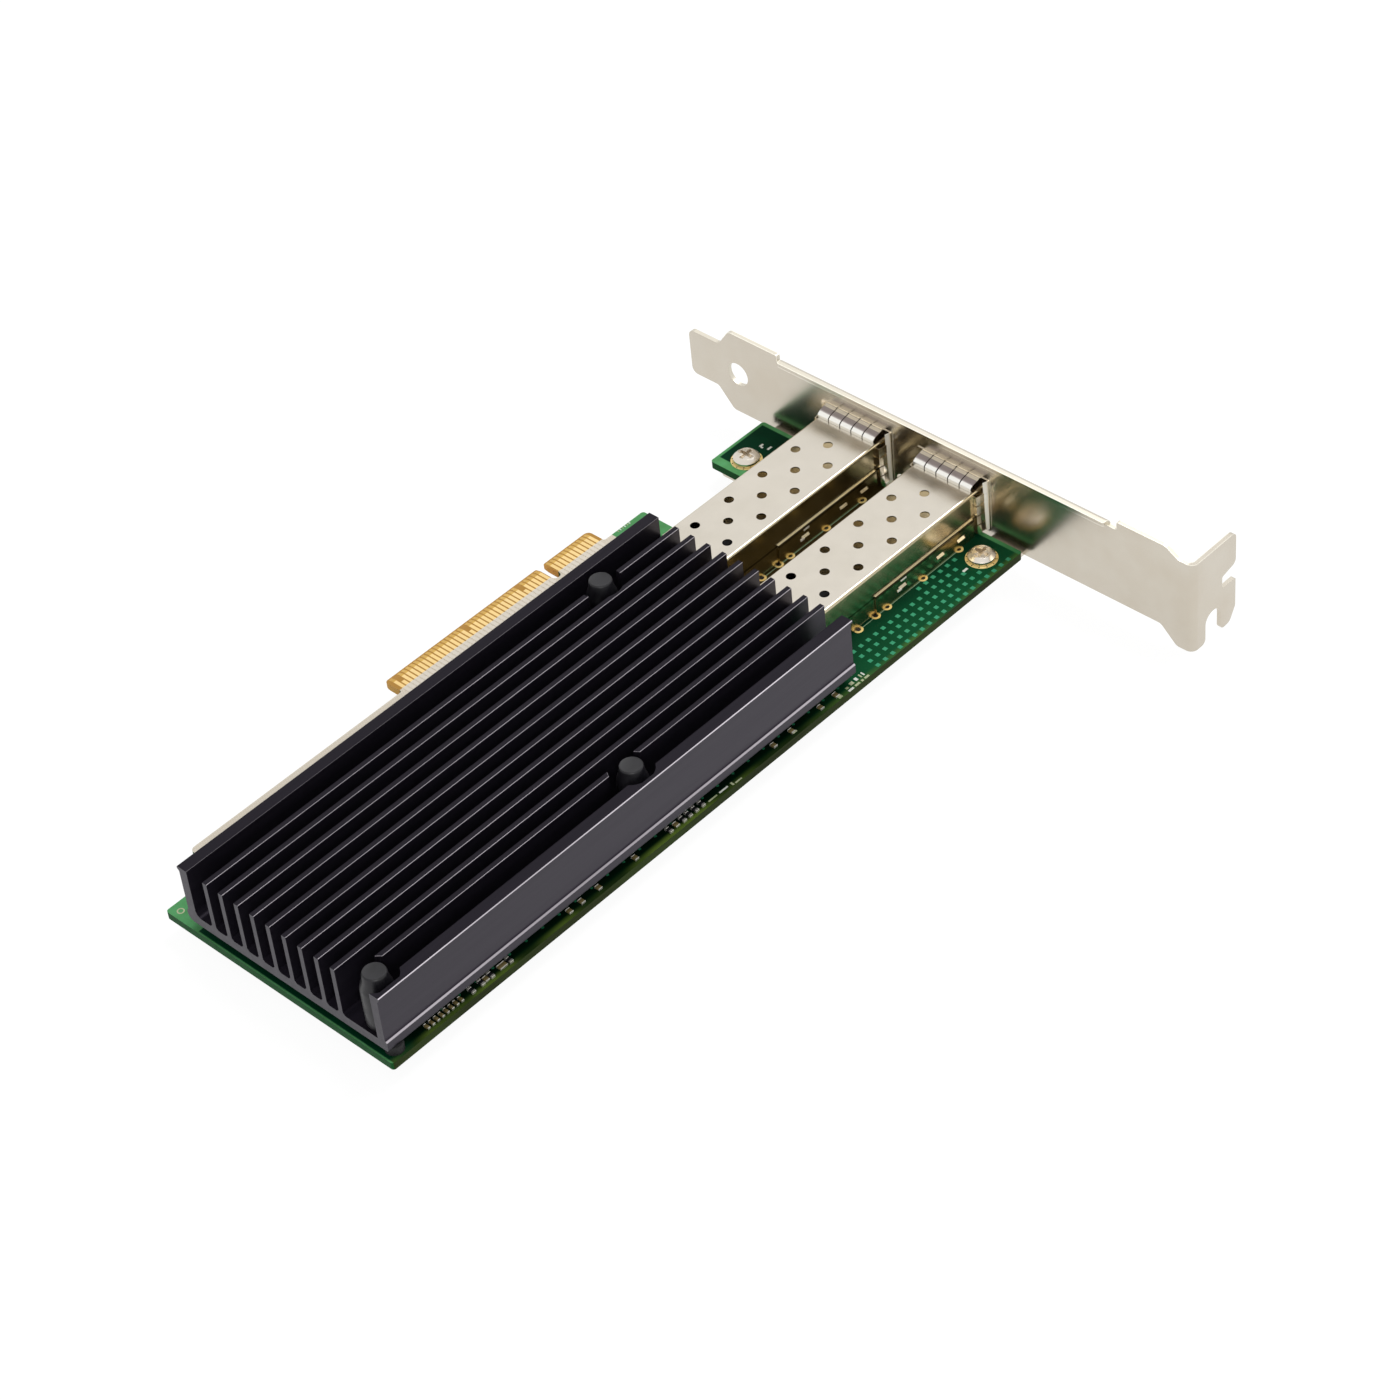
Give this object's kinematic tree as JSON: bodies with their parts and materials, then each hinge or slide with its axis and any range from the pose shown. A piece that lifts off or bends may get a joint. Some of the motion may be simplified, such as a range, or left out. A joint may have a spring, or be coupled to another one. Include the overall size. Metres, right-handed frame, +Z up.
{
  "type": "network interface card",
  "caption": "Flat server network interface card: circuit board with a finned black heat sink, two module cages, a gold edge connector and a folded full-height bracket.",
  "frame": {"origin": "Middle of the key notch of the edge connector, at the tip of the tongue, half way through the board's thickness.", "axes": "+X runs along the board away from the bracket, +Y across the board away from the edge connector, +Z up from the component side. The card lies flat, component side up."},
  "size_m": [0.1726, 0.1201, 0.0219],
  "materials": {
    "laminate": "dark green solder mask over glass laminate",
    "gold": "bright gold plating",
    "bracket_steel": "satin nickel-plated steel sheet",
    "screw_steel": "bright plated steel",
    "cage_metal": "satin plated sheet",
    "spring_metal": "bright thin spring sheet",
    "connector_plastic": "black moulded plastic",
    "tinned_metal": "tinned or plated metal",
    "black_aluminium": "black anodised",
    "pin_plastic": "black moulded plastic",
    "spacer_rubber": "black rubber",
    "chip_resin": "moulded black resin",
    "pad_rubber": "grey soft gap filler",
    "light_plastic": "clear moulded lens",
    "ceramic": "tan ceramic body"
  },
  "bodies": {
    "root": {"circuit_board": "laminate", "edge_contacts_top": "gold", "edge_contacts_bottom": "gold", "bracket": "bracket_steel", "bracket_screws": "screw_steel", "cage_cover_left": "cage_metal", "cage_cover_right": "cage_metal", "cage_base_left": "cage_metal", "cage_base_right": "cage_metal", "spring_collar_left": "spring_metal", "spring_collar_right": "spring_metal", "module_connector_left": "connector_plastic", "module_connector_right": "connector_plastic", "connector_tails_left": "tinned_metal", "connector_tails_right": "tinned_metal", "heatsink": "black_aluminium", "push_pins": "pin_plastic", "pin_springs": "spring_metal", "corner_spacers": "spacer_rubber", "controller_chip": "chip_resin", "thermal_pad": "pad_rubber", "memory_chips": "chip_resin", "regulator_chips": "chip_resin", "power_inductors": "chip_resin", "clock_crystal": "tinned_metal", "status_lights": "light_plastic", "ceramic_capacitors": "ceramic", "board_resistors": "ceramic", "underside_capacitors": "ceramic"}
  },
  "joints": []
}
